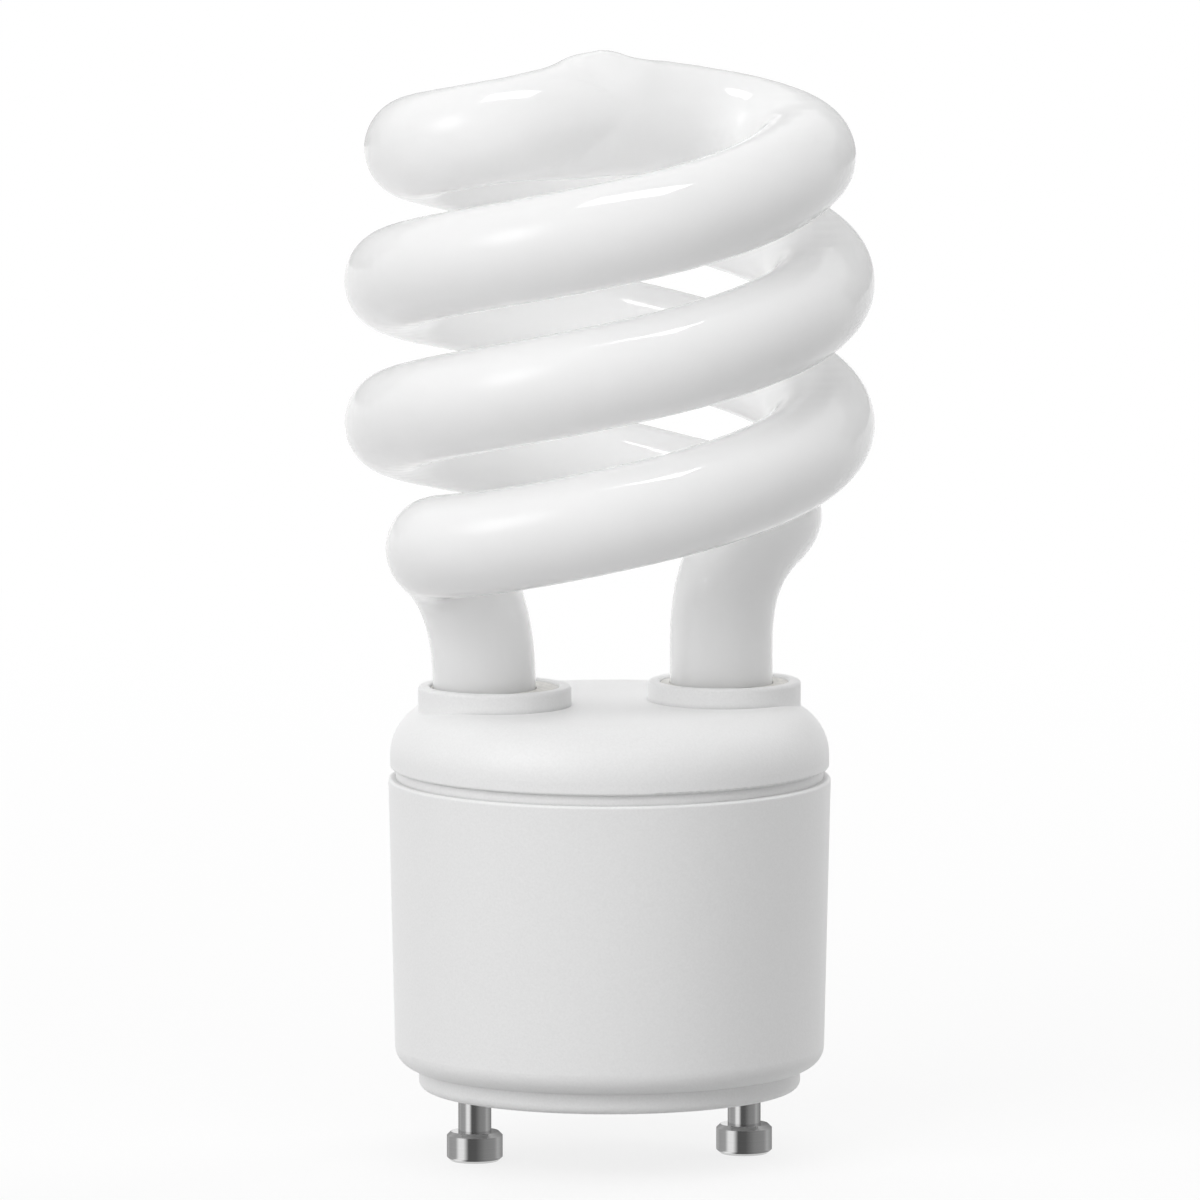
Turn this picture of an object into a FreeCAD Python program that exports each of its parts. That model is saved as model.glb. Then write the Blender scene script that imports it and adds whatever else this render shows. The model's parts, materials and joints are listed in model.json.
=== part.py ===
import FreeCAD, Part
import math
import os
from FreeCAD import Vector

# Compact fluorescent lamp with a double-helix tube and a two-pin twist-lock base.
# Millimetres, +Z up. The origin is on the boss's underside, midway between the pins on the X axis.

# Contact pins
pin_spacing = 24.0
pin_head_d = 4.9
pin_head_height = 2.6
pin_neck_d = 2.9
pin_neck_length = 3.6
pin_chamfer = 0.35
pin_flange_d = 4.6
pin_flange_thickness = 0.8
pin_post_d = 1.8
pin_post_length = 2.4
pin_hole_clearance = 0.05

# Lower housing
boss_d = 33.4
boss_height = 1.9
boss_edge_radius = 0.7
body_d = 38.7
body_draft = 0.6
body_height = 25.5
body_corner_share = 0.93
wall = 1.5
rim_edge = 0.25
ledge_width = 0.7
cavity_corner_share = 0.37

# Upper cover
groove_height = 0.9
groove_depth = 0.5
cover_inset = 0.15
cover_side_height = 1.1
cover_shoulder_radius = 4.6
cover_lip_radius = 0.25
spigot_length = 4.0
spigot_wall = 1.4
spigot_clearance = 0.1
collar_play = 1.05
collar_wall = 1.1
collar_height = 1.7
collar_edge_radius = 0.3

# Glass tube
tube_d = 9.1
coil_d = 46.4
turn_gap = 2.7
turn_stretch = 0.0001
crown_softness = 3.5
crown_straight = 7.0
crown_tuck = 1.2
crown_tuck_angle = 70.0
coil_sweep = 446.2
coil_exit_angle = 65.0
coil_end_rise = 17.2
leg_clearance = 0.55
leg_depth = 8.0
leg_shift = {-1: -0.9, 1: -0.26}
leg_rise = {-1: 1.55, 1: 5.6}
bend_reach_leg = {-1: 17.2, 1: 13.7}
bend_reach_coil = {-1: 19.7, 1: 18.8}
tip_radius = 3.2
tip_height = 1.15
tip_blend_radius = 2.0
cement_height = 3.0
cement_gap = 0.02
crown_spans = 5
coil_spans = 10
bend_spans = 6

# Circuit board and leads
board_thickness = 1.6
board_clearance = 0.15
lead_d = 0.6
lead_hole_clearance = 0.1
lead_stub = 0.9
lead_bend_radius = 0.8
pin_lead_d = 1.4
filament_spacing = 3.2

# Mains input parts
bulk_d = 10.0
bulk_length = 14.0
bulk_pitch = 5.0
bulk_edge_radius = 0.6
input_choke_d = 4.6
input_choke_length = 8.0
input_choke_waist = 3.2
input_choke_flange = 1.2
fuse_d = 3.0
fuse_length = 8.0
fuse_edge_radius = 0.5
diode_d = 2.7
diode_length = 5.2
diode_pitch = 3.6
diode_lead_span = 6.6
diode_standoff = 0.3
diode_count = 4

# Inverter parts
toroid_d = 7.5
toroid_bore_d = 4.4
toroid_height = 3.5
winding_build = 0.35
winding_gap = 0.04
winding_sector = 80.0
winding_count = 3
transistor_d = 4.4
transistor_height = 4.8
transistor_flat = 1.2
transistor_standoff = 2.5
transistor_pitch = 1.27
small_d = 1.9
small_length = 4.0
small_standoff = 0.8
start_cap_width = 2.4
start_cap_length = 3.8
start_cap_height = 5.0
start_cap_pitch = 2.4

# Lamp circuit parts
resonant_width = 4.0
resonant_length = 7.6
resonant_height = 8.0
resonant_pitch = 5.0
blocking_width = 2.5
blocking_length = 6.4
blocking_height = 6.0
blocking_pitch = 4.4
film_edge_radius = 0.7
core_width = 13.0
core_depth = 6.0
core_height = 12.4
core_back = 2.4
core_outer_leg = 2.4
core_centre_leg = 3.2
core_board_gap = 1.0
bobbin_wall = 0.5
bobbin_flange = 0.6
bobbin_play = 0.06
bobbin_depth = 9.0
choke_wire_gap = 0.15

# Places on the board, from its centre, on a board of this radius
layout_r = 17.7
bulk_at = (3.2, 10.4)
input_choke_at = (11.4, 8.2)
fuse_at = (-14.0, 4.0)
diode_row_y = 0.4
toroid_at = (-8.2, 8.6)
transistor_high_at = (11.2, -4.4)
transistor_low_at = (10.3, -9.5)
trigger_at = (8.7, -13.1)
start_cap_at = (-8.8, 0.6)
resonant_at = (-10.2, -6.6)
blocking_at = (8.6, 2.0)
choke_at = (0.0, -9.8)
resistor_places = ((14.6, -2.6), (14.2, 2.6), (-15.0, -2.6), (-15.6, 0.6))

# How closely levels, radii and angles must agree to count as the same, and the step for a heading
same_level = 1e-6
same_radius = 1e-4
straight_angle = 1e-5
plan_step = 1e-4

# Levels and radii worked out from the sizes above
rim_z = boss_height + body_height
body_r = body_d / 2
body_bottom_r = body_r - body_draft
boss_r = boss_d / 2
foot_step = body_bottom_r - boss_r
bore_r = body_r - wall
cavity_r = bore_r - ledge_width
spigot_r = bore_r - spigot_clearance
board_top_z = rim_z - spigot_length
board_z = board_top_z - board_thickness
board_r = bore_r - board_clearance
board_fit = board_r / layout_r
cover_r = body_r - cover_inset
groove_r = cover_r - groove_depth
cover_edge_z = rim_z + groove_height
cover_top_z = cover_edge_z + cover_side_height + cover_shoulder_radius
collar_top_z = cover_top_z + collar_height
spigot_inner_r = spigot_r - spigot_wall
collar_bore_d = tube_d + 2 * collar_play
collar_d = collar_bore_d + 2 * collar_wall
collar_x = spigot_inner_r - leg_clearance - collar_bore_d / 2
tube_r = tube_d / 2
coil_r = coil_d / 2 - tube_r
coil_grade = (tube_d + turn_gap) / (math.pi * coil_r)
leg_end_z = cover_top_z - leg_depth
pin_x = pin_spacing / 2

lead_holes = []


def disc(x, y, d, z0, z1):
    """Upright cylinder of diameter d between two levels."""
    return Part.makeCylinder(d / 2, z1 - z0, Vector(x, y, z0))


def block(x, y, width, length, z0, z1):
    """Upright box centred on x, y between two levels."""
    return Part.makeBox(width, length, z1 - z0, Vector(x - width / 2, y - length / 2, z0))


def revolve(edges):
    """Solid of revolution about Z from the edges of a closed profile in the XZ plane."""
    face = Part.Face(Part.Wire(edges))
    return face.revolve(Vector(0, 0, 0), Vector(0, 0, 1), 360)


def profile(points):
    """Closed chain of edges through (radius, height) points; a third value rounds that corner."""
    count = len(points)
    starts, ends, arcs = [], [], []
    for i, point in enumerate(points):
        here = Vector(point[0], 0, point[1])
        radius = point[2] if len(point) > 2 else 0
        if radius == 0:
            starts.append(here)
            ends.append(here)
            arcs.append(None)
            continue
        before = Vector(points[i - 1][0], 0, points[i - 1][1]) - here
        after = Vector(points[(i + 1) % count][0], 0, points[(i + 1) % count][1]) - here
        before.normalize()
        after.normalize()
        half = before.getAngle(after) / 2
        setback = radius / math.tan(half)
        middle = before + after
        middle.normalize()
        centre = here + middle * (radius / math.sin(half))
        starts.append(here + before * setback)
        ends.append(here + after * setback)
        arcs.append(Part.Arc(starts[-1], centre - middle * radius, ends[-1]).toShape())
    edges = []
    for i in range(count):
        if arcs[i]:
            edges.append(arcs[i])
        following = starts[(i + 1) % count]
        if ends[i].distanceToPoint(following) > same_level:
            edges.append(Part.makeLine(ends[i], following))
    return edges


def on_board(at):
    """A part's place on the board, in step with the board's radius."""
    return at[0] * board_fit, at[1] * board_fit


def drill(x, y):
    """Notes where a board part's lead passes through the board and returns its bare wire there."""
    lead_holes.append((x, y))
    return disc(x, y, lead_d, board_z, board_top_z + lead_stub)


def joined(shapes):
    """One solid from shapes that touch or overlap."""
    return shapes[0].multiFuse(shapes[1:]).removeSplitter()


def round_ends(shape, radius, z_levels):
    """Rounds the edges that lie wholly on one of the given levels."""
    edges = []
    for edge in shape.Edges:
        box = edge.BoundBox
        if any(max(abs(box.ZMin - z), abs(box.ZMax - z)) < same_level for z in z_levels):
            edges.append(edge)
    return shape.makeFillet(radius, edges)


# Glass tube


def coil_drop(travel):
    """How far the tube has come down after a travel along the plan, level at the crown."""
    eased = math.sqrt(travel * travel + crown_softness * crown_softness) - crown_softness
    return coil_grade * eased + turn_stretch * travel * travel / 2


def coil_slope(travel):
    """Slope of the tube at a travel along the plan."""
    return coil_grade * travel / math.hypot(travel, crown_softness) + turn_stretch * travel


def arc_to(start, heading, finish):
    """Arc, or a line where it is straight, from a point and heading to another point."""
    chord = finish - start
    lean = heading.getAngle(chord)
    if lean < straight_angle:
        return Part.makeLine(start, finish)
    side = heading - chord * (heading.dot(chord) / chord.dot(chord))
    side.normalize()
    top = start + chord * 0.5 + side * (chord.Length / 2 * math.tan(lean / 2))
    return Part.Arc(start, top, finish).toShape()


def two_arcs(first, second):
    """Two arcs, tangent to each other, that join two stations along their headings."""
    (start, heading), (finish, onward) = first, second
    span = finish - start
    spread = 2 * (1 - heading.dot(onward))
    along = span.dot(heading + onward)
    reach = span.dot(span) / (along + math.sqrt(along * along + spread * span.dot(span)))
    meeting = (start + finish + (heading - onward) * reach) * 0.5
    return [arc_to(start, heading, meeting), arc_to(finish, onward * -1, meeting)]


def crown_arc():
    """Radius of the bend from the crown's straight into the coil, and how far it turns."""
    top_r = coil_r - crown_tuck
    bend_r = (top_r * top_r - crown_straight * crown_straight) / (2 * top_r)
    return bend_r, math.pi / 2 + math.atan2(bend_r, crown_straight)


def crown_travel():
    """Travel along the plan from the crown's middle to the start of the coil."""
    bend_r, turn = crown_arc()
    return crown_straight + bend_r * turn


def total_travel():
    """Travel along the plan from the crown's middle to the end of the coil."""
    return crown_travel() + coil_r * math.radians(coil_sweep)


def crown_level():
    return cover_top_z + coil_end_rise + coil_drop(total_travel())


def plan_point(travel, start):
    """Place in plan at a travel: on the crown's straight, its bend, or the coil from its start angle on."""
    bend_r, turn = crown_arc()
    ahead = start + turn - math.pi / 2
    if travel < crown_straight:
        return travel * math.cos(ahead), travel * math.sin(ahead)
    if travel < crown_travel():
        angle = ahead + math.pi / 2 - (travel - crown_straight) / bend_r
        x = crown_straight * math.cos(ahead) + bend_r * (math.sin(ahead) + math.cos(angle))
        y = crown_straight * math.sin(ahead) + bend_r * (math.sin(angle) - math.cos(ahead))
        return x, y
    advance = (travel - crown_travel()) / coil_r
    tuck_turn = min(advance / math.radians(crown_tuck_angle), 1.0)
    radius = coil_r - crown_tuck * (1 + math.cos(math.pi * tuck_turn)) / 2
    return radius * math.cos(start - advance), radius * math.sin(start - advance)


def coil_station(travel, start, crown_z):
    """Point and heading of the tube at a travel along the plan."""
    x, y = plan_point(travel, start)
    x0, y0 = plan_point(travel - plan_step, start)
    x1, y1 = plan_point(travel + plan_step, start)
    ahead = Vector(x1 - x0, y1 - y0, 0)
    ahead.normalize()
    heading = ahead - Vector(0, 0, coil_slope(travel))
    heading.normalize()
    return Vector(x, y, crown_z - coil_drop(travel)), heading


def leg_place(side):
    return side * collar_x + leg_shift[side]


def strand_edges(side):
    """Centreline of the strand that ends in that side's leg, as tangent arcs from the crown's middle."""
    crown, total = crown_travel(), total_travel()
    half_turn = 180 if side < 0 else 0
    start = math.radians(half_turn + coil_exit_angle + coil_sweep)
    travels = [crown * i / crown_spans for i in range(crown_spans)]
    travels += [crown + (total - crown) * i / coil_spans for i in range(coil_spans + 1)]
    stations = [coil_station(travel, start, crown_level()) for travel in travels]
    coil_end, heading = stations[-1]
    leg_top = Vector(leg_place(side), 0, cover_top_z + leg_rise[side])
    bend = Part.BezierCurve()
    bend.setPoles([coil_end, coil_end + heading * bend_reach_coil[side],
                   leg_top + Vector(0, 0, bend_reach_leg[side]), leg_top])
    for i in range(1, bend_spans + 1):
        heading = bend.tangent(i / bend_spans)[0]
        heading.normalize()
        stations.append((bend.value(i / bend_spans), heading))
    edges = []
    for first, second in zip(stations, stations[1:]):
        edges += two_arcs(first, second)
    edges.append(Part.makeLine(leg_top, Vector(leg_place(side), 0, leg_end_z)))
    return edges


def make_spiral_tube():
    path = Part.Wire(Part.__sortEdges__(strand_edges(-1) + strand_edges(1)))
    section = Part.Wire(Part.makeCircle(tube_r, Vector(leg_place(-1), 0, leg_end_z), Vector(0, 0, 1)))
    tube = path.makePipeShell([section], True, False)
    tip_z = crown_level() + tube_r + tip_height - tip_radius
    tipped = tube.fuse(Part.makeSphere(tip_radius, Vector(0, 0, tip_z)))
    rim = [edge for edge in tipped.Edges if on_tip(edge, tip_z)]
    return tipped.makeFillet(tip_blend_radius, rim)


def on_tip(edge, tip_z):
    """True for an edge where the raised tip leaves the tube."""
    middle = edge.valueAt((edge.FirstParameter + edge.LastParameter) / 2)
    away = middle.distanceToPoint(Vector(0, 0, tip_z))
    return abs(away - tip_radius) < same_radius and edge.Length < math.pi * tip_radius


# Housing and cover


def make_lower_housing():
    outer = revolve(profile([(0, 0), (boss_r, 0, boss_edge_radius), (boss_r, boss_height),
                             (body_bottom_r, boss_height, body_corner_share * foot_step),
                             (body_r, rim_z, rim_edge), (0, rim_z)]))
    recess_r = boss_r - (body_bottom_r - cavity_r)
    inner = revolve(profile([(0, wall), (recess_r, wall), (recess_r, boss_height + wall),
                             (cavity_r, boss_height + wall, cavity_corner_share * foot_step),
                             (cavity_r, board_z), (bore_r, board_z), (bore_r, rim_z + wall),
                             (0, rim_z + wall)]))
    shell = outer.cut(inner)
    for side in (-1, 1):
        hole = disc(side * pin_x, 0, pin_neck_d + 2 * pin_hole_clearance, -wall, 2 * wall)
        pocket = disc(side * pin_x, 0, pin_flange_d + 2 * pin_hole_clearance, wall, boss_height + wall)
        shell = shell.cut(hole).cut(pocket)
    return shell


def make_upper_cover():
    shoulder = revolve(profile([(0, board_top_z), (spigot_r, board_top_z), (spigot_r, rim_z),
                                (groove_r, rim_z), (groove_r, cover_edge_z),
                                (cover_r, cover_edge_z, cover_lip_radius),
                                (cover_r, cover_top_z, cover_shoulder_radius), (0, cover_top_z)]))
    inner_top_z = cover_top_z - wall
    collars = []
    bores = []
    for side in (-1, 1):
        bores.append(disc(side * collar_x, 0, collar_bore_d, board_top_z, collar_top_z))
        collar = disc(side * collar_x, 0, collar_d, inner_top_z, collar_top_z).cut(bores[-1])
        collars.append(round_ends(collar, collar_edge_radius, [collar_top_z]))
    hollow = revolve(profile([(0, board_top_z - wall), (spigot_inner_r, board_top_z - wall),
                              (spigot_inner_r, inner_top_z, cover_shoulder_radius - wall),
                              (0, inner_top_z)]))
    whole = joined([shoulder] + collars)
    return whole.cut(hollow).cut(bores[0].fuse(bores[1]))


def make_cement(side):
    base_z = cover_top_z - wall
    top_z = base_z + cement_height
    outer = disc(side * collar_x, 0, collar_bore_d - 2 * cement_gap, base_z, top_z)
    return outer.cut(disc(leg_place(side), 0, tube_d + 2 * cement_gap, base_z, top_z))


def make_pin(side):
    head_top = -pin_neck_length
    tip = head_top - pin_head_height
    post_z = wall + pin_flange_thickness
    return revolve(profile([(0, tip), (pin_head_d / 2 - pin_chamfer, tip),
                            (pin_head_d / 2, tip + pin_chamfer), (pin_head_d / 2, head_top - pin_chamfer),
                            (pin_head_d / 2 - pin_chamfer, head_top), (pin_neck_d / 2, head_top),
                            (pin_neck_d / 2, wall), (pin_flange_d / 2, wall), (pin_flange_d / 2, post_z),
                            (pin_post_d / 2, post_z), (pin_post_d / 2, post_z + pin_post_length),
                            (0, post_z + pin_post_length)])).translated(Vector(side * pin_x, 0, 0))


# Leads


def make_pin_lead(side):
    x = side * pin_x
    lead_holes.append((x, 0))
    post_top = wall + pin_flange_thickness + pin_post_length
    return joined([disc(x, 0, pin_lead_d, post_top, board_z),
                   disc(x, 0, lead_d, board_z, board_top_z + lead_stub)])


def make_filament_lead(side, end):
    x, y = leg_place(side), end * filament_spacing / 2
    lead_holes.append((x, y))
    return disc(x, y, lead_d, board_z, leg_end_z)


# Mains input parts


def make_bulk_capacitor():
    x, y = on_board(bulk_at)
    bottom = board_z - bulk_length
    can = round_ends(disc(x, y, bulk_d, bottom, board_z), bulk_edge_radius, [bottom])
    return joined([can] + [drill(x + s * bulk_pitch / 2, y) for s in (-1, 1)])


def make_input_choke():
    x, y = on_board(input_choke_at)
    bottom = board_z - input_choke_length
    pieces = [disc(x, y, input_choke_waist, bottom, board_z),
              disc(x, y, input_choke_d, bottom, bottom + input_choke_flange),
              disc(x, y, input_choke_d, board_z - input_choke_flange, board_z)]
    return joined(pieces + [drill(x + s * input_choke_waist / 2, y) for s in (-1, 1)])


def make_fuse_resistor():
    x, y = on_board(fuse_at)
    bottom = board_z - fuse_length
    body = round_ends(disc(x, y, fuse_d, bottom, board_z), fuse_edge_radius, [bottom])
    return joined([body, drill(x, y)])


def make_diode(index):
    """Lying body on one bent wire, whose ends go up through the board."""
    x, y = on_board((diode_pitch * (index - (diode_count - 1) / 2), diode_row_y))
    z = board_z - diode_standoff - diode_d / 2
    body = Part.makeCylinder(diode_d / 2, diode_length, Vector(x, y - diode_length / 2, z), Vector(0, 1, 0))
    run = diode_lead_span / 2 - lead_bend_radius
    wire = [Part.makeLine(Vector(x, y - run, z), Vector(x, y + run, z))]
    for side in (-1, 1):
        lead_y = y + side * diode_lead_span / 2
        bend_centre = Vector(x, y + side * run, z + lead_bend_radius)
        down = Vector(0, 0, -lead_bend_radius)
        outward = Vector(0, side * lead_bend_radius, 0)
        halfway = (down + outward) * math.sqrt(0.5)
        wire.append(Part.Arc(bend_centre + down, bend_centre + halfway, bend_centre + outward).toShape())
        lead_end = Vector(x, lead_y, board_top_z + lead_stub)
        wire.append(Part.makeLine(bend_centre + outward, lead_end))
        lead_holes.append((x, lead_y))
    path = Part.Wire(Part.__sortEdges__(wire))
    section = Part.Wire(Part.makeCircle(lead_d / 2, lead_end, Vector(0, 0, 1)))
    return body.fuse(path.makePipeShell([section], True, False))


# Inverter parts


def make_toroid():
    x, y = on_board(toroid_at)
    top = board_z - winding_build - winding_gap
    return disc(x, y, toroid_d, top - toroid_height, top).cut(
        disc(x, y, toroid_bore_d, top - toroid_height, top))


def make_drive_winding():
    x, y = on_board(toroid_at)
    bottom = board_z - 2 * (winding_build + winding_gap) - toroid_height
    outer_d = toroid_d + 2 * (winding_build + winding_gap)
    inner_d = toroid_bore_d - 2 * (winding_build + winding_gap)
    sectors = []
    for i in range(winding_count):
        sector = Part.makeCylinder(outer_d / 2, board_z - bottom, Vector(0, 0, 0),
                                   Vector(0, 0, 1), winding_sector)
        sector.rotate(Vector(0, 0, 0), Vector(0, 0, 1), i * 360 / winding_count)
        sectors.append(sector.translated(Vector(x, y, bottom)))
    room_z = bottom + winding_build
    room = disc(x, y, toroid_d + 2 * winding_gap, room_z, board_z - winding_build)
    room = room.cut(disc(x, y, toroid_bore_d - 2 * winding_gap, room_z, board_z - winding_build))
    bore = disc(x, y, inner_d, bottom, board_z)
    return Part.makeCompound([sector.cut(bore).cut(room) for sector in sectors])


def make_transistor(at):
    x, y = on_board(at)
    top = board_z - transistor_standoff
    body = disc(x, y, transistor_d, top - transistor_height, top)
    flat = block(x, y + transistor_flat + transistor_d / 2, transistor_d, transistor_d,
                 top - transistor_height, top)
    pieces = [body.cut(flat)]
    for i in (-1, 0, 1):
        pieces.append(disc(x + i * transistor_pitch, y, lead_d, top, board_z))
        pieces.append(drill(x + i * transistor_pitch, y))
    return joined(pieces)


def make_small_part(at):
    x, y = on_board(at)
    top = board_z - small_standoff
    body = disc(x, y, small_d, top - small_length, top)
    return joined([body, disc(x, y, lead_d, top, board_z), drill(x, y)])


def make_film_capacitor(at, width, length, height, pitch):
    x, y = on_board(at)
    body = block(x, y, width, length, board_z - height, board_z)
    edges = [edge for edge in body.Edges if edge.BoundBox.ZLength > height / 2]
    body = body.makeFillet(film_edge_radius, edges)
    return joined([body] + [drill(x, y + s * pitch / 2) for s in (-1, 1)])


# Resonant choke


def make_choke_core(upper):
    x, y = on_board(choke_at)
    top = board_z - core_board_gap
    middle = top - core_height / 2
    z0, z1 = (middle, top) if upper else (top - core_height, middle)
    back0, back1 = (top - core_back, top) if upper else (z0, z0 + core_back)
    outer_x = (core_width - core_outer_leg) / 2
    legs = [block(x + s * outer_x, y, core_outer_leg, core_depth, z0, z1) for s in (-1, 1)]
    centre = block(x, y, core_centre_leg, core_depth, z0, z1)
    return joined([block(x, y, core_width, core_depth, back0, back1), centre] + legs)


def choke_window():
    """Levels of the core's window, and the half width of the space beside its centre leg."""
    top = board_z - core_board_gap
    return top - core_height + core_back, top - core_back, core_width / 2 - core_outer_leg


def make_choke_bobbin():
    x, y = on_board(choke_at)
    low, high, reach = choke_window()
    low, high, reach = low + bobbin_play, high - bobbin_play, reach - bobbin_play
    inner_x, inner_y = core_centre_leg + 2 * bobbin_play, core_depth + 2 * bobbin_play
    tube = block(x, y, inner_x + 2 * bobbin_wall, inner_y + 2 * bobbin_wall, low, high)
    flanges = [block(x, y, 2 * reach, bobbin_depth, z, z + bobbin_flange)
               for z in (low, high - bobbin_flange)]
    rail_length = (bobbin_depth - inner_y) / 2
    rails = []
    pins = []
    for side in (-1, 1):
        rail_y = y + side * (bobbin_depth - rail_length) / 2
        rails.append(block(x, rail_y, 2 * reach, rail_length, high - bobbin_flange, board_z))
        pins += [drill(x + s * reach / 2, rail_y) for s in (-1, 1)]
    whole = joined([tube] + flanges + rails + pins)
    return whole.cut(block(x, y, inner_x, inner_y, low, board_z))


def make_choke_winding():
    x, y = on_board(choke_at)
    low, high, reach = choke_window()
    low, high = low + bobbin_play + bobbin_flange, high - bobbin_play - bobbin_flange
    core_x = core_centre_leg + 2 * (bobbin_play + bobbin_wall)
    core_y = core_depth + 2 * (bobbin_play + bobbin_wall)
    build = reach - choke_wire_gap - core_x / 2
    outer = block(x, y, core_x + 2 * build, core_y + 2 * build, low, high)
    corners = [edge for edge in outer.Edges if edge.BoundBox.ZLength > (high - low) / 2]
    return outer.makeFillet(build, corners).cut(block(x, y, core_x, core_y, low, high))


def make_circuit_board():
    board = disc(0, 0, 2 * board_r, board_z, board_top_z)
    holes = [disc(x, y, lead_d + 2 * lead_hole_clearance, board_z, board_top_z) for x, y in lead_holes]
    return board.cut(Part.makeCompound(holes))


# All pieces by node name; the board comes last, once every lead has noted its hole

sides = {"left": -1, "right": 1}
nodes = {"spiral_tube": make_spiral_tube(), "upper_cover": make_upper_cover(),
         "lower_housing": make_lower_housing()}
for name, side in sides.items():
    nodes["contact_pin_" + name] = make_pin(side)
    nodes["tube_cement_" + name] = make_cement(side)
    nodes["pin_lead_" + name] = make_pin_lead(side)
filament_ends = [(side, end) for side in (-1, 1) for end in (-1, 1)]
for number, (side, end) in enumerate(filament_ends, 1):
    nodes[f"filament_lead_{number}"] = make_filament_lead(side, end)
nodes["bulk_capacitor"] = make_bulk_capacitor()
nodes["input_choke"] = make_input_choke()
nodes["fuse_resistor"] = make_fuse_resistor()
for index in range(diode_count):
    nodes[f"rectifier_diode_{index + 1}"] = make_diode(index)
nodes["drive_toroid"] = make_toroid()
nodes["drive_winding"] = make_drive_winding()
nodes["transistor_high"] = make_transistor(transistor_high_at)
nodes["transistor_low"] = make_transistor(transistor_low_at)
nodes["trigger_diode"] = make_small_part(trigger_at)
for number, place in enumerate(resistor_places, 1):
    nodes[f"drive_resistor_{number}"] = make_small_part(place)
nodes["start_capacitor"] = make_film_capacitor(start_cap_at, start_cap_width, start_cap_length,
                                               start_cap_height, start_cap_pitch)
nodes["resonant_capacitor"] = make_film_capacitor(resonant_at, resonant_width, resonant_length,
                                                  resonant_height, resonant_pitch)
nodes["blocking_capacitor"] = make_film_capacitor(blocking_at, blocking_width, blocking_length,
                                                  blocking_height, blocking_pitch)
nodes["choke_core_upper"] = make_choke_core(True)
nodes["choke_core_lower"] = make_choke_core(False)
nodes["choke_bobbin"] = make_choke_bobbin()
nodes["choke_winding"] = make_choke_winding()
nodes["circuit_board"] = make_circuit_board()

os.makedirs("parts", exist_ok=True)
for name, shape in nodes.items():
    shape.exportStep(f"parts/{name}.step")
    print(f"{name}: {len(shape.Solids)} solid, {shape.Volume:.1f} mm3, valid {shape.isValid()}")
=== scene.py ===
import json
import math
import bmesh
import bpy
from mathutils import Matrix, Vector


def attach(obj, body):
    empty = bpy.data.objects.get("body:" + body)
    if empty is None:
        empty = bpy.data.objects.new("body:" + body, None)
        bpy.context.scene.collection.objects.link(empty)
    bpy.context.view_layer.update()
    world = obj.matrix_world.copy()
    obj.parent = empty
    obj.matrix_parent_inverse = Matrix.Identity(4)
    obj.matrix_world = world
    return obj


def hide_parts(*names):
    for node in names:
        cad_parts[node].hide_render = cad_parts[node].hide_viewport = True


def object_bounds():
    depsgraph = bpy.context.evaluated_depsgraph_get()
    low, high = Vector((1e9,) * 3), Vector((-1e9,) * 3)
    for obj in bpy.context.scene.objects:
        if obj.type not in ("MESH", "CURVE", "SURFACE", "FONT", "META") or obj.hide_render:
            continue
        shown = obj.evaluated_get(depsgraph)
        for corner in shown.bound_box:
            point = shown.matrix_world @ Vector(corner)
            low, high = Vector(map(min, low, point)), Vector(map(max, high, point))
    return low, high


# Spiral energy saving bulb: finishes of the solids, the glass tube's crown, studio and camera
# Metres, +Z up, in the frame of the solids

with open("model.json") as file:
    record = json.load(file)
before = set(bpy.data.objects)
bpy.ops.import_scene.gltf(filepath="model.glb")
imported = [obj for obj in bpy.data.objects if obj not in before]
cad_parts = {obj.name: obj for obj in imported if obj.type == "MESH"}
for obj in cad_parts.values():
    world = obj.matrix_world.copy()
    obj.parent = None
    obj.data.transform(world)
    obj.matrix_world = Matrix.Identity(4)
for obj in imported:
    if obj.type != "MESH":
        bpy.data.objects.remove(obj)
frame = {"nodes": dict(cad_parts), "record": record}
cad_box = [list(corner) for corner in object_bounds()]
solids = frame["nodes"]
scene = bpy.context.scene

# Crown of the tube: its straight runs through the axis, fuller below, with a low wide tip on top
# The plain tip is the solid's own, which goes
tube_radius = 0.00455
plain_tip_height = 0.00115
plain_tip_core = 0.0034
plain_tip_reach = 0.0050
plain_tip_side = 0.0042
crown_level = cad_box[1][2] - plain_tip_height - tube_radius
crown_grade = 0.2014
crown_softness = 0.0035
crown_heading = math.radians(-5.1)
crown_bottom = 0.075
crown_reach = 0.011
crown_fullness = 0.0015
side_margin = 1.02
tip_shift = -0.0014
tip_reach = 0.0047
tip_height = 0.00076

# Faces of the tube: their size, and how they are smoothed
same_point = 1e-6
face_size = 0.0005
smooth_pull = 0.5
smooth_rounds = 6
tip_smooth_rounds = 8

# Part of a noise's range over which a finish varies
noise_low = 0.3
noise_high = 0.7

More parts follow.
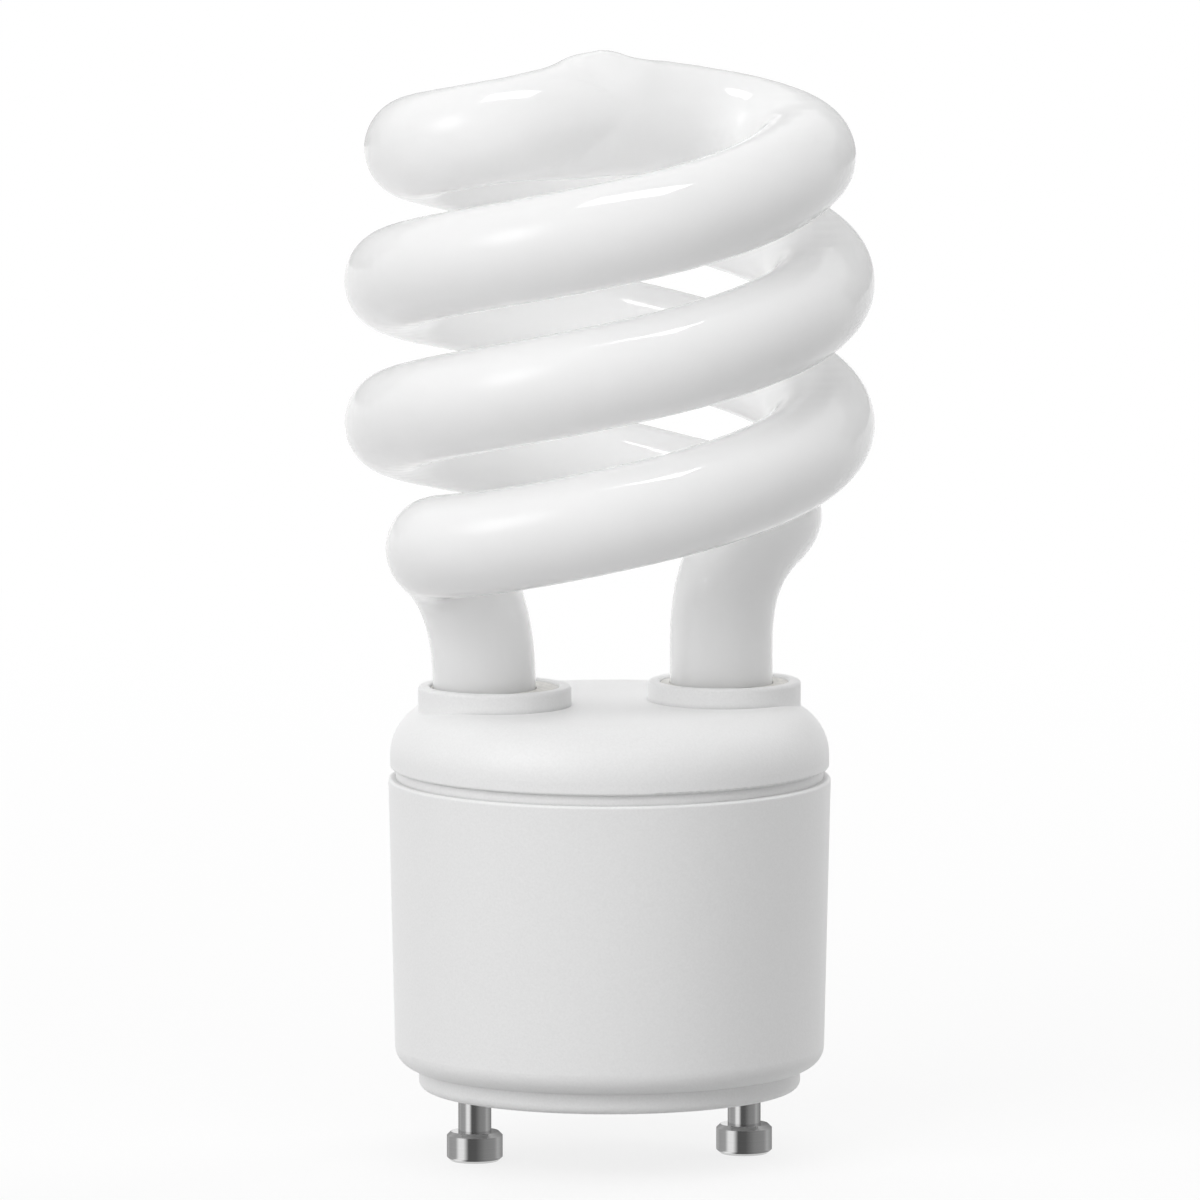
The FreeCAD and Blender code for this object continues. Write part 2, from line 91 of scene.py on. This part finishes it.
# Small parts: colour, roughness, metallic and size of the grain
plain_finishes = {
    "cement": ((0.80, 0.79, 0.76), 0.85, 0.0, 0.0004),
    "board": ((0.62, 0.46, 0.26), 0.55, 0.0, 0.0008),
    "lead_sleeve": ((0.80, 0.80, 0.78), 0.40, 0.0, 0.0010),
    "bare_wire": ((0.70, 0.70, 0.69), 0.30, 1.0, 0.0003),
    "black_epoxy": ((0.04, 0.04, 0.045), 0.55, 0.0, 0.0003),
    "can_sleeve": ((0.05, 0.07, 0.16), 0.30, 0.0, 0.0020),
    "ferrite": ((0.13, 0.13, 0.14), 0.60, 0.0, 0.0003),
    "copper": ((0.72, 0.40, 0.20), 0.35, 1.0, 0.0002),
    "film_coat": ((0.50, 0.15, 0.09), 0.28, 0.0, 0.0012),
    "resistor_coat": ((0.78, 0.66, 0.45), 0.45, 0.0, 0.0006),
}

# Small parts: shares by which colour and roughness vary with the grain, and the grain's relief
grain_darker = 0.86
grain_lighter = 1.08
grain_smoother = 0.85
grain_rougher = 1.15
grain_relief = 0.05

# Camera, fitted to the photograph
camera_distance = 1.640
camera_height = 0.2516
camera_turn = math.radians(10.4)
camera_pitch = math.radians(7.25)
camera_reach = 100.0
photo_size = 1200
focal_pixels = 18927
axis_pixel = 609.6
sensor_width = 36.0

# Background and floor
background_white = 1.0
ambient = 0.30
floor_z = cad_box[0][2]
floor_size = 40.0
floor_paint = 0.92
floor_bounce = 0.50
floor_white = 0.80
floor_near = 0.06
floor_far = 0.40

# Soft boxes: place, width and height, power
aim_height = 0.045
soft_boxes = {
    "key": ((-1.15, -1.05, 0.85), (1.3, 1.3), 12.2),
    "sky": ((-0.05, -0.62, 1.00), (1.0, 1.0), 4.3),
    "back": ((0.0, 1.45, 0.70), (1.8, 1.0), 12.5),
    "rim_left": ((-1.50, 0.75, 0.45), (0.8, 1.2), 4.0),
    "rim_right": ((1.35, 0.60, 0.95), (0.8, 1.2), 6.6),
}

# Weak lamp in the middle of the coil, for the light that the thin tube lets through to its inner side
inner_height = 0.062
inner_radius = 0.006
inner_power = 0.0018

# Small bright card whose image shows in the gloss of the glass
glint_place = (-0.05, -0.08, 0.88)
glint_size = (0.42, 0.22)
glint_strength = 11.0

# Soft glow in the gloss, on the key lamp's side: a round card, bright in its middle
glow_place = (-0.87, -0.40, 0.63)
glow_size = 0.95
glow_strength = 3.4

# Grey card close behind the coil, which draws the upper edges of the glass against the white background
edge_place = (0.03, 0.15, 0.115)
edge_size = (0.50, 0.11)
edge_strength = 0.60

# Banded cards round the pins: the bands are shares of the way round, each with its brightness
pin_x = 0.012
card_radius = 0.0036
card_gap = 0.0002
card_turn = math.pi / 2 - camera_turn
card_bands = (
    (0.0, 0.14), (0.03, 0.14), (0.06, 1.0), (0.09, 1.0), (0.12, 0.32), (0.19, 0.45), (0.21, 0.56),
    (0.26, 0.44), (0.34, 0.48), (0.373, 1.15), (0.413, 1.15), (0.453, 0.12), (0.51, 0.13),
    (0.58, 0.30), (0.67, 0.36), (0.71, 0.56), (0.76, 0.44), (0.83, 0.32), (0.88, 0.20),
    (0.95, 0.30), (1.0, 0.14),
)
ring_count = 48


# Node trees


def grey(level):
    return (level, level, level)


class NodeTree:
    """The nodes of a material or a world, with short calls for what feeds its surface."""

    def __init__(self, owner, output="ShaderNodeOutputMaterial"):
        owner.use_nodes = True
        self.tree = owner.node_tree
        self.tree.nodes.clear()
        self.surface = self.add(output).inputs["Surface"]

    def add(self, kind, **settings):
        node = self.tree.nodes.new(kind)
        for key, value in settings.items():
            setattr(node, key, value)
        return node

    def feed(self, socket, value):
        """Gives a socket a number, a colour or the result of another node."""
        if isinstance(value, bpy.types.NodeSocket):
            self.tree.links.new(value, socket)
        else:
            socket.default_value = value

    def place(self):
        """Place in the object's own axes."""
        return self.add("ShaderNodeTexCoord").outputs["Object"]

    def place_parts(self):
        """That place as its X, Y and Z."""
        node = self.add("ShaderNodeSeparateXYZ")
        self.feed(node.inputs[0], self.place())
        return node.outputs

    def away(self):
        """Distance from the object's origin."""
        node = self.add("ShaderNodeVectorMath", operation="LENGTH")
        self.feed(node.inputs[0], self.place())
        return node.outputs["Value"]

    def seen(self):
        """1 for rays that show the background: to the camera, in gloss and through glass."""
        path = self.add("ShaderNodeLightPath").outputs
        direct = self.calculate("MAXIMUM", path["Is Camera Ray"], path["Is Glossy Ray"])
        return self.calculate("MAXIMUM", direct, path["Is Transmission Ray"])

    def calculate(self, operation, *values):
        node = self.add("ShaderNodeMath", operation=operation)
        for socket, value in zip(node.inputs, values):
            self.feed(socket, value)
        return node.outputs[0]

    def spread(self, factor, low, high, start=0.0, end=1.0, easing="LINEAR"):
        """Number that goes from low to high as the factor goes from start to end."""
        node = self.add("ShaderNodeMapRange", interpolation_type=easing)
        self.feed(node.inputs["Value"], factor)
        self.feed(node.inputs["From Min"], start)
        self.feed(node.inputs["From Max"], end)
        self.feed(node.inputs["To Min"], low)
        self.feed(node.inputs["To Max"], high)
        return node.outputs["Result"]

    def ramp(self, factor, stops):
        """Colour that passes the stops as the factor rises. A stop is a position and a colour."""
        node = self.add("ShaderNodeValToRGB")
        elements = node.color_ramp.elements
        while len(elements) < len(stops):
            elements.new(1.0)
        for element, (position, colour) in zip(elements, stops):
            element.position = position
            element.color = (*colour, 1)
        self.feed(node.inputs["Fac"], factor)
        return node.outputs["Color"]

    def noise(self, scale, detail=2.0, place=None):
        node = self.add("ShaderNodeTexNoise")
        self.feed(node.inputs["Scale"], scale)
        self.feed(node.inputs["Detail"], detail)
        self.feed(node.inputs["Vector"], place or self.place())
        return node.outputs["Fac"]


class Finish(NodeTree):
    """A material with one Principled shader."""

    def __init__(self, name):
        self.material = bpy.data.materials.new(name)
        super().__init__(self.material)
        self.shader = self.add("ShaderNodeBsdfPrincipled")
        self.feed(self.surface, self.shader.outputs["BSDF"])

    def set(self, **values):
        """Sets sockets of the shader that are the same all over."""
        for key, value in values.items():
            self.feed(self.shader.inputs[key.replace("_", " ")], value)

    def shades(self, noise, low, high):
        """Colour that goes from low to high with a noise."""
        return self.ramp(noise, ((noise_low, low), (noise_high, high)))

    def painted_corner_shade(self, colour, reach, level, closed, clear):
        """Painted shade: colour that falls to this share of itself from clear places to closed gaps and
        corners, driven by ambient occlusion.
        """
        shade = self.add("ShaderNodeAmbientOcclusion")
        self.feed(shade.inputs["Distance"], reach)
        mix = self.add("ShaderNodeMix", data_type="RGBA", blend_type="MULTIPLY")
        self.feed(mix.inputs["Factor"], 1.0)
        self.feed(mix.inputs["A"], colour)
        self.feed(mix.inputs["B"], self.spread(shade.outputs["AO"], level, 1.0, closed, clear))
        return mix.outputs["Result"]

    def colour(self, source):
        self.feed(self.shader.inputs["Base Color"], source)

    def rough(self, noise, low, high):
        """Roughness that goes from low to high with a noise."""
        self.feed(self.shader.inputs["Roughness"], self.spread(noise, low, high, noise_low, noise_high))

    def bump(self, height, strength, depth, socket="Normal"):
        node = self.add("ShaderNodeBump")
        self.feed(node.inputs["Strength"], strength)
        self.feed(node.inputs["Distance"], depth)
        self.feed(node.inputs["Height"], height)
        self.feed(self.shader.inputs[socket], node.outputs["Normal"])


# Finishes


def make_glass():
    """White powder coat with faint clouds, seen through a clear glass wall with shallow waves."""
    glass = Finish("coated_glass")
    glass.set(Coat_Weight=1.0, Coat_Roughness=0.04, Coat_IOR=1.5, Specular_IOR_Level=0.2)
    glass.set(Subsurface_Weight=0.70, Subsurface_Radius=(1.0, 1.0, 1.0), Subsurface_Scale=0.007)
    clouds = glass.noise(scale=70.0, detail=3.0)
    glass.colour(glass.shades(clouds, low=grey(0.92), high=grey(0.96)))
    glass.rough(glass.noise(scale=160.0), low=0.48, high=0.60)
    waves = glass.noise(scale=110.0, detail=1.0)
    glass.bump(waves, strength=0.25, depth=0.0004, socket="Coat Normal")
    return glass.material


def make_housing():
    """White moulded plastic with a fine spark-eroded texture, and painted shade in its narrow gaps and
    corners.
    """
    plastic = Finish("textured_plastic")
    plastic.set(IOR=1.48)
    speckle = plastic.shades(plastic.noise(scale=5200.0), low=grey(0.89), high=grey(0.93))
    # Painted shade: ambient occlusion darkens the base colour in narrow gaps and corners
    plastic.colour(plastic.painted_corner_shade(speckle, reach=0.0012, level=0.45, closed=0.15, clear=0.65))
    plastic.rough(plastic.noise(scale=2600.0), low=0.35, high=0.44)
    plastic.bump(plastic.noise(scale=3000.0), strength=0.55, depth=0.00003)
    return plastic.material


def make_pin_metal():
    """Turned and plated pins: fine rings round each pin's own axis."""
    metal = Finish("turned_metal")
    metal.set(Metallic=1.0)
    place = metal.place_parts()
    across = metal.calculate("SUBTRACT", metal.calculate("ABSOLUTE", place["X"]), pin_x)
    squares = [metal.calculate("POWER", part, 2.0) for part in (across, place["Y"])]
    turned = metal.add("ShaderNodeCombineXYZ")
    metal.feed(turned.inputs["X"], metal.calculate("SQRT", metal.calculate("ADD", *squares)))
    metal.feed(turned.inputs["Y"], place["Z"])
    lines = metal.noise(scale=9000.0, place=turned.outputs[0])
    metal.colour(metal.shades(lines, low=grey(0.60), high=grey(0.65)))
    metal.rough(lines, low=0.13, high=0.17)
    metal.bump(lines, strength=0.03, depth=0.00001)
    return metal.material


def make_plain(slot, colour, roughness, metallic, grain):
    """A small part's finish: its colour and roughness vary over a grain of the given size."""
    plain = Finish(slot)
    plain.set(Metallic=metallic)
    grains = plain.noise(scale=1.0 / grain, detail=3.0)
    dark = [part * grain_darker for part in colour]
    light = [min(1.0, part * grain_lighter) for part in colour]
    plain.colour(plain.shades(grains, dark, light))
    plain.rough(grains, roughness * grain_smoother, roughness * grain_rougher)
    plain.bump(grains, strength=0.2, depth=grain * grain_relief)
    return plain.material


finishes = {"glass": make_glass(), "housing_plastic": make_housing(), "pin_metal": make_pin_metal()}
for slot_name, looks in plain_finishes.items():
    finishes[slot_name] = make_plain(slot_name, *looks)
for part in frame["record"]["subparts"]:
    materials = solids[part["node"]].data.materials
    materials.clear()
    materials.append(finishes[part["material_slot"]])


# Tube


def fade(share):
    """Falls from 1 at 0 to 0 at 1, level at both ends."""
    return (1 - min(share, 1.0) ** 2) ** 2


def crown_top(run, side):
    """Height of the crown without its tip, at a place along its straight and to the side of it."""
    reach = math.sqrt(tube_radius ** 2 - side ** 2)
    lean = crown_grade * run / math.hypot(run, crown_softness)
    centre = run - reach * lean / math.hypot(1.0, lean)
    drop = crown_grade * (math.hypot(centre, crown_softness) - crown_softness)
    return crown_level - drop + math.sqrt(reach ** 2 - (run - centre) ** 2)


def crown_rise(vert, run, side):
    """How far a point of the crown goes up, or down where it is negative."""
    up = vert.normal.z
    rise = -crown_fullness * (1 - up) / 2 * math.cos(math.pi / 2 * run / crown_reach) ** 2
    from_plain_tip = math.hypot(run, side)
    if up > 0 and from_plain_tip < plain_tip_reach and abs(side) < plain_tip_side:
        edge = max(from_plain_tip - plain_tip_core, 0.0) / (plain_tip_reach - plain_tip_core)
        rise += (crown_top(run, side) - vert.co.z) * fade(edge)
    rise += tip_height * max(up, 0.0) * fade(math.hypot(run - tip_shift, side) / tip_reach)
    return rise


def smooth(form, verts, rounds):
    """Draws each point towards the middle of its neighbours, this many times."""
    axes = {"use_axis_x": True, "use_axis_y": True, "use_axis_z": True}
    for _ in range(rounds):
        bmesh.ops.smooth_vert(form, verts=verts, factor=smooth_pull, **axes)


def shape_crown(form):
    """Makes the crown fuller below, and its plain tip low and wide."""
    along = Vector((math.cos(crown_heading), math.sin(crown_heading), 0.0))
    across = Vector((-along.y, along.x, 0.0))
    crown = []
    for vert in form.verts:
        run = vert.co.dot(along)
        side = vert.co.dot(across)
        near = abs(run) < crown_reach and abs(side) < tube_radius * side_margin
        if near and vert.co.z > crown_bottom:
            vert.co.z += crown_rise(vert, run, side)
            crown.append(vert)
    smooth(form, crown, tip_smooth_rounds)


def even_faces(mesh):
    """A closed mesh of the same form, with even four-sided faces."""
    form = bmesh.new()
    form.from_mesh(mesh)
    bmesh.ops.remove_doubles(form, verts=form.verts, dist=same_point)
    whole = bpy.data.meshes.new("whole")
    form.to_mesh(whole)
    form.free()
    carrier = bpy.data.objects.new("carrier", whole)
    scene.collection.objects.link(carrier)
    remesh = carrier.modifiers.new("remesh", "REMESH")
    remesh.mode = "VOXEL"
    remesh.voxel_size = face_size
    made = carrier.evaluated_get(bpy.context.evaluated_depsgraph_get())
    result = bpy.data.meshes.new_from_object(made)
    bpy.data.objects.remove(carrier)
    return result


def make_tube():
    """The glass tube with its full crown and wide tip, in place of the solid with the plainer crown."""
    mesh = even_faces(solids["spiral_tube"].data)
    mesh.name = "glass_tube"
    form = bmesh.new()
    form.from_mesh(mesh)
    smooth(form, form.verts, smooth_rounds)
    form.normal_update()
    shape_crown(form)
    form.to_mesh(mesh)
    form.free()
    mesh.shade_smooth()
    mesh.materials.append(finishes["glass"])
    tube = bpy.data.objects.new("glass_tube", mesh)
    scene.collection.objects.link(tube)
    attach(tube, "root")
    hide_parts("spiral_tube")


# Studio


def make_object(name, vertices, faces, material):
    mesh = bpy.data.meshes.new(name)
    mesh.from_pydata(vertices, [], faces)
    mesh.materials.append(material)
    made = bpy.data.objects.new(name, mesh)
    scene.collection.objects.link(made)
    return made


def rectangle(width, depth, height=0.0):
    """Corners of a level rectangle round the origin."""
    x = width / 2
    y = depth / 2
    return [(-x, -y, height), (x, -y, height), (x, y, height), (-x, y, height)]


def ring(radius, height=0.0):
    """Points of a level circle round the origin."""
    turns = [math.tau * step / ring_count for step in range(ring_count)]
    return [(radius * math.cos(turn), radius * math.sin(turn), height) for turn in turns]


def facing(place):
    """Turn of a lamp or card at this place that looks at the object."""
    return (Vector((0.0, 0.0, aim_height)) - Vector(place)).to_track_quat("-Z", "Y").to_euler()


def make_world():
    """White to look at, and weaker as a light on the object."""
    world = bpy.data.worlds.new("studio")
    tree = NodeTree(world, "ShaderNodeOutputWorld")
    background = tree.add("ShaderNodeBackground")
    tree.feed(background.inputs["Color"], (1, 1, 1, 1))
    tree.feed(background.inputs["Strength"], tree.spread(tree.seen(), ambient, background_white))
    tree.feed(tree.surface, background.outputs[0])
    scene.world = world


def make_floor():
    """Pale floor: it keeps the shadow near the object, and goes over into the white background."""
    material = bpy.data.materials.new("floor")
    tree = NodeTree(material)
    seen = tree.seen()
    white = tree.spread(tree.away(), floor_white, 1.0, floor_near, floor_far, "SMOOTHSTEP")
    paint = tree.add("ShaderNodeBsdfDiffuse")
    tree.feed(paint.inputs["Color"], tree.spread(seen, floor_bounce, floor_paint))
    mix = tree.add("ShaderNodeMixShader")
    tree.feed(mix.inputs["Fac"], tree.calculate("MULTIPLY", white, seen))
    tree.feed(mix.inputs[1], paint.outputs[0])
    tree.feed(mix.inputs[2], tree.add("ShaderNodeEmission").outputs[0])
    tree.feed(tree.surface, mix.outputs[0])
    corners = rectangle(floor_size, floor_size, floor_z)
    floor = make_object("floor", corners, [(0, 1, 2, 3)], material)


def place_lamp(light, place, power):
    """Puts a lamp in the studio, where it leaves no image in the gloss."""
    light.energy = power
    lamp = bpy.data.objects.new(light.name, light)
    lamp.location = place
    lamp.rotation_euler = facing(place)
    lamp.visible_glossy = False
    scene.collection.objects.link(lamp)


def make_soft_box(name, place, size, power):
    light = bpy.data.lights.new(name, "AREA")
    light.shape = "RECTANGLE"
    light.size, light.size_y = size
    place_lamp(light, place, power)


def make_inner_lamp():
    light = bpy.data.lights.new("inner", "POINT")
    light.shadow_soft_size = inner_radius
    place_lamp(light, (0.0, 0.0, inner_height), inner_power)


def make_card(name, vertices, faces, brightness):
    """Stage card that only gloss sees. Its brightness is a number, or made by a function of its tree."""
    material = bpy.data.materials.new(name)
    tree = NodeTree(material)
    emission = tree.add("ShaderNodeEmission")
    tree.feed(emission.inputs["Strength"], brightness(tree) if callable(brightness) else brightness)
    tree.feed(tree.surface, emission.outputs[0])
    card = make_object(name, vertices, faces, material)
    card.visible_camera = False
    card.visible_diffuse = False
    card.visible_transmission = False
    card.visible_shadow = False
    return card


def make_flat_card(name, place, size, strength):
    card = make_card(name, rectangle(*size), [(0, 1, 2, 3)], strength)
    card.location = place
    card.rotation_euler = facing(place)


def fading(tree):
    """Brightness that fades from the card's middle to that of the background at its edge."""
    return tree.spread(tree.away(), glow_strength, background_white, 0.0, glow_size / 2, "SMOOTHERSTEP")


def make_key_glow():
    card = make_card("key_glow", ring(glow_size / 2), [tuple(range(ring_count))], fading)
    card.location = glow_place
    card.rotation_euler = facing(glow_place)


def banded(tree):
    """Brightness in upright bands once round the card's axis."""
    place = tree.place_parts()
    angle = tree.calculate("ARCTAN2", place["Y"], place["X"])
    share = tree.calculate("DIVIDE", tree.calculate("WRAP", angle, math.tau, 0.0), math.tau)
    return tree.ramp(share, [(position, grey(level)) for position, level in card_bands])


def make_pin_cards():
    """A cup round each pin, from the floor to just under the boss."""
    low = floor_z + card_gap
    vertices = ring(card_radius, low) + ring(card_radius, -card_gap) + [(0.0, 0.0, low)]
    middle = 2 * ring_count
    faces = []
    for step in range(ring_count):
        following = (step + 1) % ring_count
        faces.append((step, following, ring_count + following, ring_count + step))
        faces.append((middle, following, step))
    for name, x in (("pin_card_left", -pin_x), ("pin_card_right", pin_x)):
        card = make_card(name, vertices, faces, banded)
        card.location = (x, 0.0, 0.0)
        card.rotation_euler = (0.0, 0.0, card_turn)


def make_camera():
    data = bpy.data.cameras.new("camera")
    data.sensor_width = sensor_width
    data.lens = focal_pixels / photo_size * sensor_width
    data.shift_x = (photo_size / 2 - axis_pixel) / photo_size
    data.clip_end = camera_reach
    camera = bpy.data.objects.new("camera", data)
    camera.location.x = -camera_distance * math.sin(camera_turn)
    camera.location.y = -camera_distance * math.cos(camera_turn)
    camera.location.z = camera_height
    camera.rotation_euler = (math.pi / 2 - camera_pitch, 0.0, -camera_turn)
    scene.collection.objects.link(camera)
    scene.camera = camera


make_tube()
make_world()
make_floor()
for box_name, settings in soft_boxes.items():
    make_soft_box(box_name, *settings)
make_inner_lamp()
make_flat_card("glint", glint_place, glint_size, glint_strength)
make_flat_card("edge_card", edge_place, edge_size, edge_strength)
make_key_glow()
make_pin_cards()
make_camera()
scene.view_settings.view_transform = "Standard"
